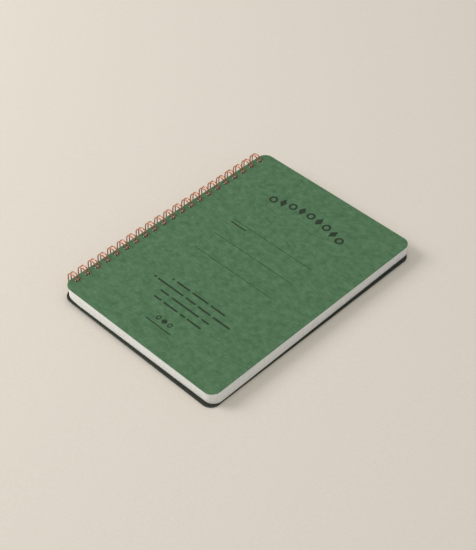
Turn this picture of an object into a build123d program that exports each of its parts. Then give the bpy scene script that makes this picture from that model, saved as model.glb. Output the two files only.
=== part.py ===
"""A5 notebook bound with a twin-loop wire.

Five pieces: front cover, block of sheets, paper pocket leaf, rear cover and
one continuous copper-coloured wire bent into a comb of double loops.

Modelling frame (mm): X runs from the spine edge (0) to the fore edge, Y runs
along the spine from the bottom edge (0) to the top edge, Z is up and 0 is the
upper face of the front cover. All pieces are moved together at the very end,
so that the whole stands on Z = 0 with its box centred on X = Y = 0.
"""
from build123d import *
import os
from math import cos, radians, sin

os.makedirs("parts", exist_ok=True)

# ---- overall sizes -------------------------------------------------------
COVER_WIDTH = 148.0  # A5, across
COVER_HEIGHT = 210.0  # A5, along the spine
CORNER_RADIUS = 7.5  # all four corners of every layer

# ---- layers, from the top down -------------------------------------------
FRONT_THICKNESS = 0.6  # pressboard
PAGES_THICKNESS = 9.2  # 90 sheets
POCKET_PAPER = 0.2  # one layer of the pocket leaf
REAR_THICKNESS = 1.2  # stiff board

# ---- how the layers lie ---------------------------------------------------
PAGES_INSET = 0.75  # sheets start this far in from the cover's spine edge
PAGES_SKEW = 0.4  # degrees, turned about the middle of the spine
REAR_INSET = 0.3
REAR_OVERHANG = 1.5  # rear board runs past the front cover at the fore edge
REAR_DROP = 1.2  # and lies this much nearer the bottom edge
REAR_SKEW = -0.3

# ---- wire -----------------------------------------------------------------
LOOP_COUNT = 21
LOOP_MARGIN = 10.5  # first and last pair of loops to the cover's ends
WIRE_DIAMETER = 0.9
PAIR_SPACING = 2.6  # between the two wires of one loop, on centre
LOOP_RADIUS = 5.0  # upper bend of a loop, on the wire's centre line
LOOP_CENTRE_X = -0.2
LOOP_CENTRE_DROP = 2.0  # centre of the upper bend below the front cover
SEAM_LEAN = 20.0  # degrees the closing seam leans in under the sheets
ROOT_RADIUS = 0.9  # bend from the link between loops into a loop
TIP_GAP = 0.3  # between the closed tip of a loop and the line of links
LINK_CLEARANCE = 0.15  # link to the pocket leaf above and the board below

# ---- punched holes --------------------------------------------------------
COVER_HOLE_PLAY = 2.4  # hole less wire, across; it lets a cover slide round
SHEET_HOLE_PLAY = 1.5
HOLE_SIDE_PLAY = 1.1  # hole less pair of wires, along the spine
FRONT_HOLE_IN = 0.9  # middle of a hole, in from the loops' straight leg
SHEET_HOLE_IN = 0.4
REAR_HOLE_IN = 1.2

# ---- room for the seam under the sheets ------------------------------------
RELIEF_FLAT = 6.5  # sheets are pressed together as far as this
RELIEF_END = 15.0  # and lie flat from here on

# ---- pocket ---------------------------------------------------------------
POCKET_START = 18.0  # pocket panel's edge beside the spine
POCKET_TOP = 125.0  # mouth of the pocket, from the bottom edge

BEYOND = 20.0  # how far the shapes used for cutting reach past the book

PITCH = (COVER_HEIGHT - 2 * LOOP_MARGIN) / (LOOP_COUNT - 1)
WIRE_RADIUS = WIRE_DIAMETER / 2
HALF_PAIR = PAIR_SPACING / 2
HOLE_ALONG = PAIR_SPACING + WIRE_DIAMETER + HOLE_SIDE_PLAY
right_x = LOOP_CENTRE_X + LOOP_RADIUS
left_x = LOOP_CENTRE_X - LOOP_RADIUS

FRONT_UNDER = -FRONT_THICKNESS
PAGES_UNDER = FRONT_UNDER - PAGES_THICKNESS
PANEL_UNDER = PAGES_UNDER - POCKET_PAPER
LEAF_UNDER = PANEL_UNDER - POCKET_PAPER
REAR_UNDER = LEAF_UNDER - REAR_THICKNESS

LINK_Z = LEAF_UNDER + LINK_CLEARANCE + WIRE_RADIUS
SEAM_ROOF = LINK_Z + WIRE_RADIUS + LINK_CLEARANCE
RELIEF = SEAM_ROOF - LEAF_UNDER


def loop_places():
    """Distance of every double loop from the bottom edge."""
    return [LOOP_MARGIN + PITCH * i for i in range(LOOP_COUNT)]


def outline(width, height):
    """Rectangle with round corners, its corner by the spine at the origin."""
    shape = RectangleRounded(width, height, CORNER_RADIUS)
    return Pos(width / 2, height / 2) * shape


def turned(shape, angle):
    """Turn a flat shape about the middle of the spine edge."""
    middle = Pos(0, COVER_HEIGHT / 2)
    return middle * Rot(0, 0, angle) * middle.inverse() * shape


def holes(inward, play):
    """One rectangular hole for every double loop."""
    hole = Pos(right_x - inward, 0) * Rectangle(WIRE_DIAMETER + play, HOLE_ALONG)
    return Sketch() + [Pos(0, y) * hole for y in loop_places()]


def slab(shape, top, under):
    """Flat shape made solid between two heights."""
    return extrude(Pos(0, 0, under) * shape, top - under)


def along_spine(points):
    """Prism with a profile in X and Z, longer than the book at both ends."""
    face = make_face(Polyline(*[(x, -BEYOND, z) for x, z in points], close=True))
    return extrude(face, COVER_HEIGHT + 2 * BEYOND, dir=(0, 1, 0))


# ---- front cover ----------------------------------------------------------
front_shape = outline(COVER_WIDTH, COVER_HEIGHT) - holes(FRONT_HOLE_IN, COVER_HOLE_PLAY)
front_cover = slab(front_shape, 0, FRONT_UNDER)

# ---- sheets ---------------------------------------------------------------
# The sheets are squeezed together at the holes, which leaves the closing seam
# of the wire its room above the rear board.
sheet_outline = Pos(PAGES_INSET, 0) * outline(COVER_WIDTH - PAGES_INSET, COVER_HEIGHT)
sheet_shape = turned(sheet_outline, PAGES_SKEW) - holes(SHEET_HOLE_IN, SHEET_HOLE_PLAY)


def under_curve(level, rise):
    """Lower side of a layer: raised by the spine, flat from RELIEF_END on."""
    far = COVER_WIDTH + BEYOND
    return [(-BEYOND, level + rise), (RELIEF_FLAT, level + rise), (RELIEF_END, level), (far, level)]


def band(upper, lower):
    """Prism between two curves that run across the book."""
    return along_spine(upper + lower[::-1])


pages_top = [(-BEYOND, FRONT_UNDER), (COVER_WIDTH + BEYOND, FRONT_UNDER)]
pages_band = band(pages_top, under_curve(PAGES_UNDER, RELIEF))
page_block = slab(sheet_shape, FRONT_UNDER, PAGES_UNDER) & pages_band

# ---- paper pocket ---------------------------------------------------------
# A leaf the size of a sheet, with a panel folded up over its lower part and
# glued down along both sides.
leaf_band = band(under_curve(PANEL_UNDER, RELIEF), under_curve(LEAF_UNDER, RELIEF))
leaf = slab(sheet_shape, PANEL_UNDER + RELIEF, LEAF_UNDER) & leaf_band
panel_window = Pos(POCKET_START, -BEYOND) * Rectangle(
    COVER_WIDTH, POCKET_TOP + BEYOND, align=(Align.MIN, Align.MIN)
)
panel = slab(sheet_shape & panel_window, PAGES_UNDER, PANEL_UNDER)
paper_pocket = leaf + panel

# ---- rear cover -----------------------------------------------------------
rear_width = COVER_WIDTH + REAR_OVERHANG - REAR_INSET
rear_outline = Pos(REAR_INSET, -REAR_DROP) * outline(rear_width, COVER_HEIGHT)
rear_shape = turned(rear_outline, REAR_SKEW) - holes(REAR_HOLE_IN, COVER_HOLE_PLAY)
rear_cover = slab(rear_shape, LEAF_UNDER, REAR_UNDER)

# ---- twin-loop wire -------------------------------------------------------
# A loop seen along the spine: upper bend, straight leg on either side, lower
# bend, and on the sheets' side a short straight piece leaning in, where the
# tips of the loops close against the links. The lower bend is a little
# tighter than the upper one by what that leaning piece takes up.
lean = radians(SEAM_LEAN)
SEAM_LENGTH = HALF_PAIR + TIP_GAP + ROOT_RADIUS
LOWER_RADIUS = (2 * LOOP_RADIUS - SEAM_LENGTH * sin(lean)) / 2
upper_z = -LOOP_CENTRE_DROP
seam_top_z = LINK_Z + (HALF_PAIR + TIP_GAP) * cos(lean)
first_x = right_x - LOWER_RADIUS
first_z = seam_top_z + LOWER_RADIUS * sin(lean)
second_x = left_x + LOWER_RADIUS
second_z = first_z - SEAM_LENGTH * cos(lean)
seam_top_x = first_x + LOWER_RADIUS * cos(lean)
seam_end_x = seam_top_x - SEAM_LENGTH * sin(lean)
seam_end_z = seam_top_z - SEAM_LENGTH * cos(lean)


def in_seam(y, distance, sideways):
    """Point in the leaning plane of the seam, from the top of the seam down."""
    x = seam_top_x - distance * sin(lean)
    z = seam_top_z - distance * cos(lean)
    return (x, y + sideways, z)


def bend(y, centre_x, centre_z, radius, start, end):
    """Arc in the plane of a loop, angles in degrees from +X towards +Z."""
    points = []
    for angle in (start, (start + end) / 2, end):
        turn = radians(angle)
        points.append((centre_x + radius * cos(turn), y, centre_z + radius * sin(turn)))
    return ThreePointArc(*points)


def leg(y):
    """One wire of a loop, from its root at the link round to its tip."""
    return [
        bend(y, second_x, second_z, LOWER_RADIUS, -SEAM_LEAN, -180),
        Line((left_x, y, second_z), (left_x, y, upper_z)),
        bend(y, LOOP_CENTRE_X, upper_z, LOOP_RADIUS, 180, 0),
        Line((right_x, y, upper_z), (right_x, y, first_z)),
        bend(y, first_x, first_z, LOWER_RADIUS, 0, -SEAM_LEAN),
    ]


def tip(y):
    """Half circle that joins the two wires of a loop at the closing seam."""
    return ThreePointArc(in_seam(y, 0, -HALF_PAIR), in_seam(y, HALF_PAIR, 0), in_seam(y, 0, HALF_PAIR))


def root(y, side):
    """Quarter bend from the end of a loop's wire into the link beside it."""
    link = HALF_PAIR + TIP_GAP
    away = side * (1 - cos(radians(45))) * ROOT_RADIUS
    down = link + (1 - sin(radians(45))) * ROOT_RADIUS
    return ThreePointArc(
        in_seam(y, SEAM_LENGTH, side * HALF_PAIR),
        in_seam(y, down, side * HALF_PAIR + away),
        in_seam(y, link, side * (HALF_PAIR + ROOT_RADIUS)),
    )


def link_between(y, next_y):
    """Straight piece of wire that joins one double loop to the next."""
    distance = HALF_PAIR + TIP_GAP
    reach = HALF_PAIR + ROOT_RADIUS
    return Line(in_seam(y, distance, reach), in_seam(next_y, distance, -reach))


places = loop_places()
path = []
for index, place in enumerate(places):
    path += leg(place - HALF_PAIR)
    path.append(tip(place))
    path += leg(place + HALF_PAIR)[::-1]
    if index < LOOP_COUNT - 1:
        following = places[index + 1]
        path.append(root(place, 1))
        path.append(link_between(place, following))
        path.append(root(following, -1))

wire_line = Wire([piece.edge() for piece in path])
wire_start = Plane(
    origin=(seam_end_x, places[0] - HALF_PAIR, seam_end_z),
    x_dir=(0, 1, 0),
    z_dir=(-sin(lean), 0, -cos(lean)),
)
twin_loop_wire = sweep(wire_start * Circle(WIRE_RADIUS), path=wire_line)

# ---- set the whole on its base and write it --------------------------------
pieces = {
    "front_cover": front_cover,
    "page_block": page_block,
    "paper_pocket": paper_pocket,
    "rear_cover": rear_cover,
    "twin_loop_wire": twin_loop_wire,
}
box = Compound(children=[Compound(piece.wrapped) for piece in pieces.values()]).bounding_box()
base = Pos(-box.center().X, -box.center().Y, -box.min.Z)

for name, piece in pieces.items():
    export_step(base * piece, "parts/" + name + ".step")
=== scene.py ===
# %% [markdown]
# # A wire-bound A5 notebook
# The notebook lies closed on a pale table. Five pieces come from the CAD
# model: two covers, the block of sheets, a paper pocket and the wire that
# holds them. This lesson gives them their looks, builds the sheets one by one,
# and prints the front cover with plain shapes.

import math
import random

import bpy
from mathutils import Matrix, Vector


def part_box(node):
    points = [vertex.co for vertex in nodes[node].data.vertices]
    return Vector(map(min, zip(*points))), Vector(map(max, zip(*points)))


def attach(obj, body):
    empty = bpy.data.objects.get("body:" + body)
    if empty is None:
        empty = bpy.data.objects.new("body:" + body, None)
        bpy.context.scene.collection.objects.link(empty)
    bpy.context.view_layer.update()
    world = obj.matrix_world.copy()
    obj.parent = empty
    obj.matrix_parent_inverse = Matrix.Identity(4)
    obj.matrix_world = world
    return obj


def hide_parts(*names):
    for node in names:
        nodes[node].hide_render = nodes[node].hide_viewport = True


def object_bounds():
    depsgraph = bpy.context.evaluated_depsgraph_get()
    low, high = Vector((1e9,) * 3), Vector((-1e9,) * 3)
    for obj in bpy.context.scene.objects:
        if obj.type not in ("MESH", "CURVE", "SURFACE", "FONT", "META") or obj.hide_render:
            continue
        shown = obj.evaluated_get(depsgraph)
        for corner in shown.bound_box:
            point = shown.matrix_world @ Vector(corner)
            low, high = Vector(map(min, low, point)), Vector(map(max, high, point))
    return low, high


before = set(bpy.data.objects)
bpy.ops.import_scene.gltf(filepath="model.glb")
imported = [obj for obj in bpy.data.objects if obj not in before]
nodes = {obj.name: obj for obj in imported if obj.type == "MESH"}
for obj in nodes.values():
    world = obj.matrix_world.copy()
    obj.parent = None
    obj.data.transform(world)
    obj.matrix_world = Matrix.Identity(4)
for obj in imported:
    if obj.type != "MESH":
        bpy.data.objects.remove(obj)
cad_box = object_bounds()
MM = 0.001
print("CAD box in mm:", [[round(v / MM, 2) for v in corner] for corner in cad_box])

# %% [markdown]
# ## Working by hand, in code
# An operator acts on whatever is selected, and the CAD nodes start out
# selected. So every step begins with nothing selected, and in edit mode the
# faces or edges wanted are picked by where they are or which way they look.


# %% Selecting
def only(piece):
    """Select one object and make it the active one."""
    bpy.ops.object.select_all(action="DESELECT")
    piece.select_set(True)
    bpy.context.view_layer.objects.active = piece


def pick_faces(piece, rule):
    """In edit mode, select the faces for which the rule is true."""
    bpy.ops.mesh.select_mode(type="FACE")
    bpy.ops.mesh.select_all(action="DESELECT")
    bpy.ops.object.mode_set(mode="OBJECT")
    for face in piece.data.polygons:
        face.select = rule(face)
    bpy.ops.object.mode_set(mode="EDIT")


def pick_edges(piece, rule):
    """In edit mode, select the edges whose two ends satisfy the rule."""
    bpy.ops.mesh.select_mode(type="EDGE")
    bpy.ops.mesh.select_all(action="DESELECT")
    bpy.ops.object.mode_set(mode="OBJECT")
    points = piece.data.vertices
    for edge in piece.data.edges:
        first, second = (points[i].co for i in edge.vertices)
        edge.select = rule(first, second)
    bpy.ops.object.mode_set(mode="EDIT")


def settle(piece):
    """Put the place, turn and size of an object into its mesh."""
    only(piece)
    bpy.ops.object.transform_apply(location=True, rotation=True, scale=True)
    return piece


def join(pieces, name):
    """Make one object of several."""
    bpy.ops.object.select_all(action="DESELECT")
    for piece in pieces:
        piece.select_set(True)
    bpy.context.view_layer.objects.active = pieces[0]
    bpy.ops.object.join()
    pieces[0].name = name
    pieces[0].data.name = name
    return pieces[0]


# %% [markdown]
# ## The sheets
# The real block is 90 sheets of writing paper, a tenth of a millimetre each.
# A single solid has edges that are too perfect: real sheets never line up
# exactly, and the fine steps between them are what makes a cut edge look like
# paper. So one sheet is lifted off the top of the CAD block, given its
# thickness, and copied 90 times, each copy a hair out of line.
# Beside the holes the lowest sheets are squeezed up to make room for the
# closing seam of the wire, as they are in the CAD block.

# %% Lift one sheet off the block
SHEET_COUNT = 90
SQUEEZE_FLAT = 6.5 * MM  # squeezed as far in from the spine as this
SQUEEZE_END = 15.0 * MM  # flat from here on
SQUEEZE = 1.2 * MM
AIR = 0.06  # part of each sheet's pitch that is air

block_low, block_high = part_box("page_block")
spine_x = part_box("front_cover")[0].x
sheet_pitch = (block_high.z - block_low.z) / SHEET_COUNT
sheet = bpy.data.objects.new("one_sheet", nodes["page_block"].data.copy())
bpy.context.scene.collection.objects.link(sheet)
only(sheet)
bpy.ops.object.mode_set(mode="EDIT")
bpy.ops.mesh.select_all(action="SELECT")
bpy.ops.mesh.remove_doubles(threshold=0.001 * MM)
top_level = block_high.z - 0.01 * MM
pick_faces(sheet, lambda face: face.normal.z < 0.9 or face.center.z < top_level)
bpy.ops.mesh.delete(type="FACE")
for distance in (SQUEEZE_FLAT, SQUEEZE_END):
    bpy.ops.mesh.select_all(action="SELECT")
    bpy.ops.mesh.bisect(plane_co=(spine_x + distance, 0, 0), plane_no=(1, 0, 0))
bpy.ops.mesh.select_all(action="SELECT")
bpy.ops.mesh.extrude_region_move(
    TRANSFORM_OT_translate={"value": (0, 0, -sheet_pitch * (1 - AIR))}
)
bpy.ops.mesh.select_all(action="SELECT")
bpy.ops.mesh.normals_make_consistent(inside=False)
bpy.ops.object.mode_set(mode="OBJECT")
print("One sheet:", len(sheet.data.polygons), "faces,", round(sheet_pitch / MM, 4), "mm pitch")

# %% [markdown]
# A copy is lowered to its place, and near the spine it is brought up in
# proportion to its depth. The tiny shifts go inwards only, so the stack never
# leaves the space the CAD block holds. A few neighbouring sheets shift
# together, because sheets are cut and gathered in small lots.

# %% Stack the sheets
SLIP = 0.16 * MM
LOT = 6  # sheets that were gathered together


def squeeze_at(x):
    """How much of its depth a sheet keeps, at a distance from the spine."""
    full = (block_high.z - block_low.z - SQUEEZE) / (block_high.z - block_low.z)
    flat = (x - spine_x - SQUEEZE_FLAT) / (SQUEEZE_END - SQUEEZE_FLAT)
    return full + (1 - full) * min(max(flat, 0.0), 1.0)


chance = random.Random(11)
stack = []
lot_slip = (0.0, 0.0)
for number in range(SHEET_COUNT):
    if number % LOT == 0:
        lot_slip = (chance.uniform(0, SLIP / 2), chance.uniform(0, SLIP / 2))
    slip_x = lot_slip[0] + chance.uniform(0, SLIP / 2)
    slip_y = lot_slip[1] + chance.uniform(0, SLIP / 2)
    copy = bpy.data.objects.new("sheet", sheet.data.copy())
    bpy.context.scene.collection.objects.link(copy)
    for point in copy.data.vertices:
        depth = block_high.z - point.co.z + number * sheet_pitch
        point.co.z = block_high.z - depth * squeeze_at(point.co.x)
        point.co.x -= slip_x
        point.co.y -= slip_y
    stack.append(copy)
sheet_stack = join(stack, "sheet_stack")
bpy.data.objects.remove(sheet)
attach(sheet_stack, "book")
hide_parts("page_block")
print("Stack of", SHEET_COUNT, "sheets:", len(sheet_stack.data.polygons), "faces")

# %% [markdown]
# ## The print on the front cover
# The cover is printed in one dark green ink. Ink has hardly any thickness,
# but each mark is modelled as a very thin closed shape let into the board, so
# its outline stays sharp at any distance. Real words are left out: a bowed
# row of rings and lozenges stands for the title, three writing lines stay as
# they are, and plain bars stand for the small print.

# %% Places on the cover
INK_DEPTH = 0.04 * MM  # half of it stands above the board
cover_low, cover_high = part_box("front_cover")


def on_cover(x, y):
    """Point on the cover's face, in mm from its spine and bottom edges."""
    return Vector((cover_low.x + x * MM, cover_low.y + y * MM, cover_high.z))


# %% [markdown]
# A bar begins as a cube of the right size. The four upright edges are then
# bevelled until the ends are round, as ink spreads at the end of a stroke.

# %% Bars and lines
def ink_bar(left, right, y, height):
    """Flat bar with round ends, between two distances from the spine."""
    bpy.ops.object.select_all(action="DESELECT")
    bpy.ops.mesh.primitive_cube_add(size=1, location=on_cover((left + right) / 2, y))
    bar = bpy.context.active_object
    bar.dimensions = ((right - left) * MM, height * MM, INK_DEPTH)
    settle(bar)
    bpy.ops.object.mode_set(mode="EDIT")
    pick_edges(bar, lambda a, b: abs(a.z - b.z) > INK_DEPTH / 2)
    bpy.ops.mesh.bevel(offset=height * MM * 0.48, segments=4, affect="EDGES")
    bpy.ops.object.mode_set(mode="OBJECT")
    return bar


LINE_LEFT, LINE_RIGHT, LINE_HEIGHT = 37.6, 115.0, 0.42
writing_lines = join(
    [ink_bar(LINE_LEFT, LINE_RIGHT, y, LINE_HEIGHT) for y in (135.8, 115.0, 94.0)], "writing_lines"
)
small_heading = ink_bar(37.6, 53.0, 132.4, 1.2)
small_heading.name = "small_heading"
print("Writing lines:", len(writing_lines.data.polygons), "faces")

# %% [markdown]
# The small print is four centred rows. Each row is a list of bar ends, so the
# bars differ in length like words do.

# %% Small print
SMALL_PRINT = {
    59.0: [(50.4, 52.4), (55.0, 68.4), (70.6, 86.4), (88.6, 102.6)],
    52.1: [(38.8, 41.2), (42.8, 68.4), (70.6, 80.6), (82.8, 95.2), (97.4, 113.8)],
    45.2: [(52.4, 61.0), (63.6, 90.8), (93.2, 100.6)],
    38.2: [(53.4, 60.6), (62.6, 76.8), (79.4, 84.2), (86.0, 99.6)],
}
BAR_HEIGHT = 1.55
rows = []
for row_y, ends in SMALL_PRINT.items():
    rows += [ink_bar(left, right, row_y, BAR_HEIGHT) for left, right in ends]
small_print = join(rows, "small_print")
print("Small print:", len(small_print.data.polygons), "faces")

# %% [markdown]
# A ring starts as a thin disc. Its two flat faces are inset and deleted, and
# the two open loops are bridged to make the inner wall. A lozenge is a disc
# with four corners, pulled tall and with its corners taken off.

# %% Rings and lozenges
def disc(place, across, tall, corners, turn=0.0):
    """Thin upright cylinder, stretched to its width and height on the cover."""
    bpy.ops.object.select_all(action="DESELECT")
    bpy.ops.mesh.primitive_cylinder_add(
        vertices=corners, radius=0.5, depth=1, location=place, rotation=(0, 0, turn)
    )
    flat = bpy.context.active_object
    flat.scale = (across * MM, tall * MM, INK_DEPTH)
    return settle(flat)


def ink_ring(place, across, tall, stroke, turn):
    """Oval ring drawn with one even stroke."""
    ring = disc(place, across, tall, 40, turn)
    bpy.ops.object.mode_set(mode="EDIT")
    pick_faces(ring, lambda face: abs(face.normal.z) > 0.9)
    bpy.ops.mesh.inset(thickness=stroke * MM, use_individual=True)
    bpy.ops.mesh.delete(type="FACE")
    bpy.ops.mesh.select_mode(type="EDGE")
    bpy.ops.mesh.select_all(action="DESELECT")
    bpy.ops.mesh.select_non_manifold()
    bpy.ops.mesh.bridge_edge_loops()
    bpy.ops.mesh.select_all(action="SELECT")
    bpy.ops.mesh.normals_make_consistent(inside=False)
    bpy.ops.object.mode_set(mode="OBJECT")
    return ring


def ink_lozenge(place, across, tall, turn):
    """Four-cornered mark with slightly blunt corners."""
    mark = disc(place, across, tall, 4, turn)
    bpy.ops.object.mode_set(mode="EDIT")
    pick_edges(mark, lambda a, b: abs(a.z - b.z) > INK_DEPTH / 2)
    bpy.ops.mesh.bevel(offset=0.25 * MM, segments=2, affect="EDGES")
    bpy.ops.object.mode_set(mode="OBJECT")
    return mark


# %% [markdown]
# The title's row bows upwards in the middle. It follows a circle whose centre
# is far below, so each mark's place comes from an angle, and each mark leans
# with the circle.

# %% Title row
TITLE_MARKS = 9
BOW_RADIUS = 96.0
BOW_MIDDLE = (76.0, 179.0)  # the middle mark, from the spine and bottom edges
BOW_SPREAD = 40.0  # degrees from the first mark to the last

marks = []
for index in range(TITLE_MARKS):
    lean = math.radians(BOW_SPREAD * (index / (TITLE_MARKS - 1) - 0.5))
    x = BOW_MIDDLE[0] + BOW_RADIUS * math.sin(lean)
    y = BOW_MIDDLE[1] - BOW_RADIUS * (1 - math.cos(lean))
    if index % 2:
        marks.append(ink_lozenge(on_cover(x, y), 5.6, 9.6, -lean))
    else:
        marks.append(ink_ring(on_cover(x, y), 7.0, 7.4, 1.75, -lean))
title_row = join(marks, "title_row")
print("Title row:", len(title_row.data.polygons), "faces")

# %% [markdown]
# Near the bottom edge a small ornament fills the place of a maker's mark: a
# lozenge between two short upright bars, over one thin line.

# %% Ornament
ORNAMENT_Y = 25.6
ornament_parts = [
    ink_lozenge(on_cover(76.7, ORNAMENT_Y), 5.4, 5.4, 0),
    ink_ring(on_cover(71.2, ORNAMENT_Y), 3.6, 4.6, 1.0, 0),
    ink_ring(on_cover(82.2, ORNAMENT_Y), 3.6, 4.6, 1.0, 0),
    ink_bar(64.2, 89.0, 19.6, 0.9),
]
ornament = join(ornament_parts, "ornament")
printed = [writing_lines, small_heading, small_print, title_row, ornament]
for piece in printed:
    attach(piece, "front")
print("Ornament:", len(ornament.data.polygons), "faces")

# %% [markdown]
# ## Materials
# Colours are written as sRGB hex values, the way a colour picker shows them,
# and one function turns them to the linear numbers the renderer works with.
# Another small function adds a node, sets its fields and links its inputs.


# %% Colour and nodes
def linear(code, alpha=1.0):
    """Linear colour from an sRGB hex value."""
    levels = [int(code[i : i + 2], 16) / 255 for i in (1, 3, 5)]
    light = [v / 12.92 if v <= 0.04045 else ((v + 0.055) / 1.055) ** 2.4 for v in levels]
    return (*light, alpha)


def node(tree, kind, links=None, **settings):
    """Add a node, set its fields, then fill or link its inputs by name or number."""
    made = tree.nodes.new(kind)
    for field, value in settings.items():
        setattr(made, field, value)
    for key, value in (links or {}).items():
        if isinstance(value, bpy.types.NodeSocket):
            tree.links.new(value, made.inputs[key])
        else:
            made.inputs[key].default_value = value
    return made


def new_material(name, **constants):
    """Material with a Principled shader, and its tree and shader."""
    material = bpy.data.materials.new(name)
    material.use_nodes = True
    tree = material.node_tree
    shader = tree.nodes["Principled BSDF"]
    for field, value in constants.items():
        shader.inputs[field.replace("_", " ")].default_value = value
    return material, tree, shader


def wear(piece, material):
    """Give a piece one material."""
    piece.data.materials.clear()
    piece.data.materials.append(material)


def ramp(tree, factor, stops):
    """Colour ramp between hex colours at places from 0 to 1."""
    made = node(tree, "ShaderNodeValToRGB", {"Fac": factor})
    band = made.color_ramp
    while len(band.elements) < len(stops):
        band.elements.new(0.5)
    for element, (place, code) in zip(band.elements, stops):
        element.position = place
        element.color = linear(code)
    return made.outputs["Color"]


def per_metre(size_mm):
    """Texture scale that gives features of about this size."""
    return 1 / (size_mm * MM)


# %% [markdown]
# ### Pressboard
# The front cover is pressboard: a dense card of dyed fibres pressed smooth,
# once glazed and now matt. Two things give it away: soft clouds a few
# millimetres across, where the pulp lay thicker, and short fibres in every
# direction, a little lighter or darker than the rest. The clouds are plain
# noise. The fibres are noise stretched long in one direction; three layers
# turned different ways look like fibres that lie at random.

# %% Pressboard
def fibres(tree, place, length, width, angle, seed):
    """Noise drawn out into short strands that lie at one angle."""
    turned = node(
        tree,
        "ShaderNodeMapping",
        {"Vector": place, "Location": (seed, -seed, 0), "Rotation": (0, 0, math.radians(angle)),
         "Scale": (width / length, 1, 1)},
    )
    strands = node(
        tree,
        "ShaderNodeTexNoise",
        {"Vector": turned.outputs[0], "Scale": per_metre(width), "Detail": 1.5, "Distortion": 0.6},
    )
    return strands.outputs["Fac"]


def all_fibres(tree, place, length, width):
    """Three layers of strands, the strongest of which wins at each point."""
    total = fibres(tree, place, length, width, 12, 0.3)
    for angle, seed in ((71, 1.7), (134, 3.1)):
        layer = fibres(tree, place, length, width, angle, seed)
        total = node(tree, "ShaderNodeMath", {0: total, 1: layer}, operation="MAXIMUM").outputs[0]
    return total


def mix(tree, factor, first, second, blend="MIX"):
    """Mix two colours, or two sockets, by a factor."""
    made = node(tree, "ShaderNodeMix", data_type="RGBA", blend_type=blend)
    for place, value in ((0, factor), (6, first), (7, second)):
        if isinstance(value, bpy.types.NodeSocket):
            tree.links.new(value, made.inputs[place])
        else:
            made.inputs[place].default_value = value
    return made.outputs[2]


def facing_sideways(tree):
    """1 on cut edges, 0 on the flat faces of a board that lies level."""
    where = node(tree, "ShaderNodeTexCoord")
    parts = node(tree, "ShaderNodeSeparateXYZ", {0: where.outputs["Normal"]})
    upright = node(tree, "ShaderNodeMath", {0: parts.outputs["Z"]}, operation="ABSOLUTE")
    return node(tree, "ShaderNodeMath", {0: upright.outputs[0], 1: 0.5}, operation="LESS_THAN").outputs[0]


def relief(tree, height, depth_mm, strength, shader):
    """Raise the surface by a pattern."""
    bump = node(
        tree, "ShaderNodeBump", {"Height": height, "Distance": depth_mm * MM, "Strength": strength}
    )
    tree.links.new(bump.outputs[0], shader.inputs["Normal"])


pressboard, tree, shader = new_material("pressboard_dyed_green", Specular_IOR_Level=0.35)
place = node(tree, "ShaderNodeTexCoord").outputs["Object"]
clouds = node(
    tree, "ShaderNodeTexNoise", {"Vector": place, "Scale": per_metre(5.0), "Detail": 4.0, "Roughness": 0.62}
)
cloud_colour = ramp(
    tree, clouds.outputs["Fac"], [(0.28, "#5a8d60"), (0.5, "#6a9c6e"), (0.72, "#79aa7c")]
)
strands = all_fibres(tree, place, 5.0, 0.45)
strand_colour = ramp(tree, strands, [(0.5, "#6e6e6e"), (0.62, "#808080"), (0.78, "#a4a4a4")])
face_colour = mix(tree, 0.75, cloud_colour, strand_colour, "OVERLAY")
# The cut edges are painted a darker green than the face: painted shade on the board's edge faces.
shaded_edge_colour = linear("#4a7a50")
tree.links.new(mix(tree, facing_sideways(tree), face_colour, shaded_edge_colour), shader.inputs["Base Color"])
dull = node(
    tree, "ShaderNodeMapRange", {"Value": strands, "From Min": 0.4, "From Max": 0.8, "To Min": 0.72, "To Max": 0.58}
)
tree.links.new(dull.outputs[0], shader.inputs["Roughness"])
relief(tree, strands, 0.06, 0.35, shader)
wear(nodes["front_cover"], pressboard)
print("Front cover:", pressboard.name)

# %% [markdown]
# ### Ink
# Offset ink on uncoated board sinks in: it is dark, matt and a little uneven,
# because the board's fibres take it up differently.

# %% Ink
ink, tree, shader = new_material("offset_ink_dark_green", Roughness=0.7, Specular_IOR_Level=0.3)
place = node(tree, "ShaderNodeTexCoord").outputs["Object"]
blotches = node(tree, "ShaderNodeTexNoise", {"Vector": place, "Scale": per_metre(0.8), "Detail": 3.0})
tree.links.new(
    ramp(tree, blotches.outputs["Fac"], [(0.35, "#1f2c20"), (0.65, "#33452f")]), shader.inputs["Base Color"]
)
for piece in printed:
    wear(piece, ink)
print("Print:", ink.name)

# %% [markdown]
# ### Writing paper
# Uncoated white paper is nearly neutral and quite matt. Each sheet is ruled
# with a fine grey grid of 5 mm squares, square to its own edges, so the
# pattern is turned by the same small angle as the sheets. On the cut edges
# there is no ruling, only a faint change of tone from one lot to the next.

# %% Writing paper
GRID = 5.0
RULE = 0.18  # a little wider than the real 0.1 mm, or it would not show
SHEET_TURN = -0.4  # degrees, undoes the sheets' own turn


def rule_lines(tree, distance):
    """1 on thin lines that repeat every grid step, else 0."""
    steps = node(tree, "ShaderNodeMath", {0: distance, 1: per_metre(GRID)}, operation="MULTIPLY")
    part = node(tree, "ShaderNodeMath", {0: steps.outputs[0]}, operation="FRACT")
    middle = node(tree, "ShaderNodeMath", {0: part.outputs[0], 1: 0.5}, operation="SUBTRACT")
    away = node(tree, "ShaderNodeMath", {0: middle.outputs[0]}, operation="ABSOLUTE")
    limit = 0.5 - RULE / GRID / 2
    return node(tree, "ShaderNodeMath", {0: away.outputs[0], 1: limit}, operation="GREATER_THAN").outputs[0]


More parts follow.
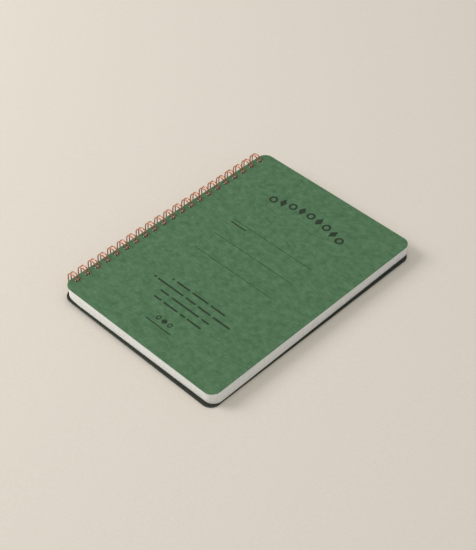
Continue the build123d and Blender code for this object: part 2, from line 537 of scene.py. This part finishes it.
paper, tree, shader = new_material("writing_paper_ruled", Roughness=0.82, Specular_IOR_Level=0.3)
place = node(tree, "ShaderNodeTexCoord").outputs["Object"]
square = node(tree, "ShaderNodeMapping", {"Vector": place, "Rotation": (0, 0, math.radians(SHEET_TURN))})
along = node(tree, "ShaderNodeSeparateXYZ", {0: square.outputs[0]})
lines_x = rule_lines(tree, along.outputs["X"])
lines_y = rule_lines(tree, along.outputs["Y"])
grid = node(tree, "ShaderNodeMath", {0: lines_x, 1: lines_y}, operation="MAXIMUM").outputs[0]
formation = node(tree, "ShaderNodeTexNoise", {"Vector": place, "Scale": per_metre(2.5), "Detail": 3.0})
sheet_colour = ramp(tree, formation.outputs["Fac"], [(0.3, "#f0f0ec"), (0.7, "#f7f7f4")])
ruled = mix(tree, grid, sheet_colour, linear("#a9b7bd"))
level = node(tree, "ShaderNodeMapping", {"Vector": place, "Scale": (0.02, 0.02, 1)})
lots = node(
    tree, "ShaderNodeTexNoise", {"Vector": level.outputs[0], "Scale": per_metre(0.9), "Detail": 3.0, "Roughness": 0.7}
)
cut_colour = ramp(tree, lots.outputs["Fac"], [(0.3, "#dededa"), (0.55, "#f2f2ef"), (0.75, "#fafaf8")])
tree.links.new(mix(tree, facing_sideways(tree), ruled, cut_colour), shader.inputs["Base Color"])
relief(tree, formation.outputs["Fac"], 0.02, 0.3, shader)
wear(sheet_stack, paper)
wear(nodes["page_block"], paper)
print("Sheets:", paper.name)

# %% [markdown]
# ### Pocket paper
# The pocket is folded from a heavier cream paper with visible fibres, and it
# carries no ruling.

# %% Pocket paper
pocket_paper, tree, shader = new_material("cream_paper_folded", Roughness=0.85, Specular_IOR_Level=0.3)
place = node(tree, "ShaderNodeTexCoord").outputs["Object"]
pulp = all_fibres(tree, place, 4.0, 0.35)
tree.links.new(ramp(tree, pulp, [(0.45, "#e6dec9"), (0.7, "#f0eadb")]), shader.inputs["Base Color"])
relief(tree, pulp, 0.03, 0.4, shader)
wear(nodes["paper_pocket"], pocket_paper)
print("Pocket:", pocket_paper.name)

# %% [markdown]
# ### Stiff board
# The rear cover is a thick board dyed right through, almost black with a
# green cast. Light fibres show on its faces, and its cut edge is rougher and
# a touch paler, because the blade breaks the surface.

# %% Stiff board
board, tree, shader = new_material("stiff_board_dyed_dark", Specular_IOR_Level=0.35, Roughness=0.74)
place = node(tree, "ShaderNodeTexCoord").outputs["Object"]
board_fibres = all_fibres(tree, place, 3.5, 0.4)
grain = node(tree, "ShaderNodeTexNoise", {"Vector": place, "Scale": per_metre(0.5), "Detail": 4.0})
board_face = ramp(tree, board_fibres, [(0.45, "#272c26"), (0.62, "#2e342d"), (0.8, "#4a5248")])
board_edge = ramp(tree, grain.outputs["Fac"], [(0.35, "#363b33"), (0.7, "#4d5347")])
tree.links.new(mix(tree, facing_sideways(tree), board_face, board_edge), shader.inputs["Base Color"])
relief(tree, grain.outputs["Fac"], 0.05, 0.4, shader)
wear(nodes["rear_cover"], board)
print("Rear cover:", board.name)

# %% [markdown]
# ### Copper-coloured wire
# The wire is drawn steel with a thin copper plating under clear lacquer. It
# is a metal to the eye: the colour is in the reflections, which are sharp
# along the bend and pale where the wire slopes towards the light. Fine die
# marks and small changes in the plating keep the reflections from being
# perfectly clean.

# %% Copper plating
plating, tree, shader = new_material(
    "drawn_wire_copper_plated", Metallic=1.0, Coat_Weight=0.25, Coat_Roughness=0.12
)
place = node(tree, "ShaderNodeTexCoord").outputs["Object"]
tarnish = node(tree, "ShaderNodeTexNoise", {"Vector": place, "Scale": per_metre(3.0), "Detail": 3.0})
tree.links.new(
    ramp(tree, tarnish.outputs["Fac"], [(0.3, "#b06a44"), (0.7, "#c98560")]), shader.inputs["Base Color"]
)
die_marks = node(tree, "ShaderNodeTexNoise", {"Vector": place, "Scale": per_metre(0.25), "Detail": 2.0})
sheen = node(
    tree, "ShaderNodeMapRange", {"Value": die_marks.outputs["Fac"], "To Min": 0.22, "To Max": 0.38}
)
tree.links.new(sheen.outputs[0], shader.inputs["Roughness"])
relief(tree, die_marks.outputs["Fac"], 0.01, 0.3, shader)
wear(nodes["twin_loop_wire"], plating)
only(nodes["twin_loop_wire"])
bpy.ops.object.select_all(action="DESELECT")
print("Wire:", plating.name)

# %% [markdown]
# ## Table, light and camera
# A wire-bound book doesn't lie quite level: the loops stand a little lower
# than the rear cover, so the spine is raised and only the fore edge of the
# rear cover touches. The table is tilted by that small angle instead of the
# book, because the book stays in the CAD frame.

# %% Table
TABLE_SIZE = 8.0
low, high = cad_box
rear_low, rear_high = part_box("rear_cover")
wire_low, wire_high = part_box("twin_loop_wire")
run = rear_high.x - (wire_low.x + wire_high.x) / 2
slope = math.atan2(rear_low.z - wire_low.z, run)
bpy.ops.object.select_all(action="DESELECT")
bpy.ops.mesh.primitive_plane_add(
    size=TABLE_SIZE, location=((wire_low.x + wire_high.x) / 2, 0, wire_low.z), rotation=(0, -slope, 0)
)
table_top = settle(bpy.context.active_object)
table_top.name = "table_top"
laminate, tree, shader = new_material("matt_laminate_pale", Roughness=0.9, Specular_IOR_Level=0.2)
place = node(tree, "ShaderNodeTexCoord").outputs["Object"]
speckle = node(tree, "ShaderNodeTexNoise", {"Vector": place, "Scale": per_metre(1.2), "Detail": 4.0})
tree.links.new(
    ramp(tree, speckle.outputs["Fac"], [(0.3, "#e6ded2"), (0.7, "#ebe4d9")]), shader.inputs["Base Color"]
)
wear(table_top, laminate)
print("Table tilted by", round(math.degrees(slope), 2), "degrees")

# %% [markdown]
# The light is one large softbox to the left, and an even pale sky for the
# rest. Together they give a level face about its own colour.

# %% Light
KEY_WATTS = 17.0
KEY_PLACE = Vector((-1.25, -0.75, 1.05))
SKY_STRENGTH = 0.6

key_data = bpy.data.lights.new("softbox", "AREA")
key_data.shape = "SQUARE"
key_data.size = 0.9
key_data.energy = KEY_WATTS
key_data.color = (1.0, 0.985, 0.96)
key = bpy.data.objects.new("softbox", key_data)
key.location = KEY_PLACE
key.rotation_euler = (-KEY_PLACE).to_track_quat("-Z", "Y").to_euler()
bpy.context.scene.collection.objects.link(key)

sky = bpy.data.worlds.new("pale_sky")
sky.use_nodes = True
sky.node_tree.nodes["Background"].inputs["Color"].default_value = linear("#fbfaf8")
sky.node_tree.nodes["Background"].inputs["Strength"].default_value = SKY_STRENGTH
bpy.context.scene.world = sky
bpy.context.scene.view_settings.view_transform = "Standard"
print("Softbox at", [round(v, 2) for v in KEY_PLACE])

# %% [markdown]
# The camera looks down from the lower right, over the fore edge towards the
# wire, and is held a little askew.

# %% Camera
VIEW_TURN = 42.5  # degrees round the object from straight along +Y
VIEW_HEIGHT = 44.39  # degrees above the horizon
VIEW_ROLL = 1.845
VIEW_DISTANCE = 0.92514
VIEW_LENS = 84.63
AIM = on_cover(80.84, 94.63)

turn, rise = math.radians(VIEW_TURN), math.radians(VIEW_HEIGHT)
back = Vector((math.sin(turn) * math.cos(rise), -math.cos(turn) * math.cos(rise), math.sin(rise)))
right = Vector((math.cos(turn), math.sin(turn), 0))
up = back.cross(right)
tilt = Matrix.Rotation(math.radians(VIEW_ROLL), 3, back)
axes = Matrix((tilt @ right, tilt @ up, back)).transposed()
camera_data = bpy.data.cameras.new("camera")
camera_data.lens = VIEW_LENS
camera_data.sensor_width = 36
camera = bpy.data.objects.new("camera", camera_data)
camera.matrix_world = Matrix.Translation(AIM + back * VIEW_DISTANCE) @ axes.to_4x4()
bpy.context.scene.collection.objects.link(camera)
bpy.context.scene.camera = camera
print("Camera at", [round(v, 3) for v in camera.matrix_world.translation])
